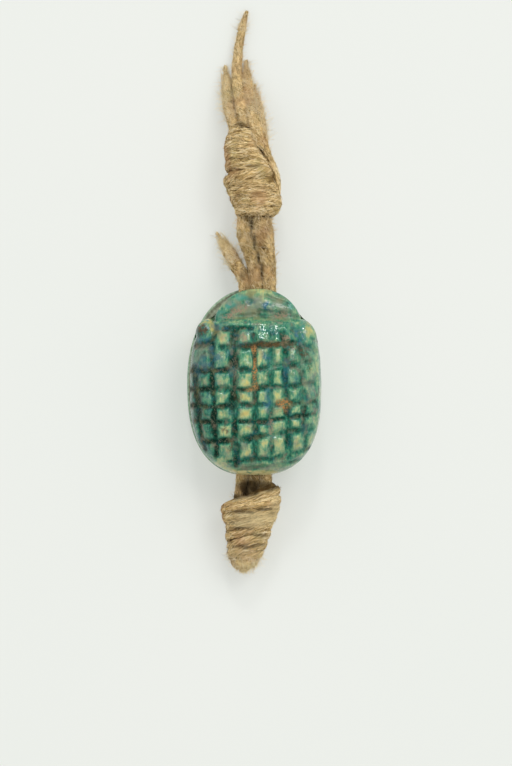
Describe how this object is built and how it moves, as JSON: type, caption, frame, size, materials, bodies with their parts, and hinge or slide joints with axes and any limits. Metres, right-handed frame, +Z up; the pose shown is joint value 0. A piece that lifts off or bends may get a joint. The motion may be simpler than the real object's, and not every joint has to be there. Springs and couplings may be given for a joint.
{
  "type": "stamp seal",
  "caption": "Small glazed oval stamp seal with a domed back cut in a square lattice, a lobed head end and a flat stamping face, strung lengthwise on an old knotted linen cord.",
  "frame": {"origin": "centre of the seal's flat underside", "axes": "+Y along the seal's length towards its head end, +Z up from the stamping face to the domed back"},
  "size_m": [0.0122, 0.051, 0.0072],
  "materials": {
    "glaze": "glossy turquoise-green glaze, worn pale on the raised cells and dark with dirt in the cuts",
    "linen": "dry tan linen thread, frayed at the cut ends"
  },
  "bodies": {
    "root": {"seal": "glaze", "strand_left": "linen", "strand_right": "linen", "strand_cut": "linen", "tail_left": "linen", "tail_long": "linen", "tail_right": "linen", "upper_knot": "linen", "lower_knot": "linen"}
  },
  "joints": []
}
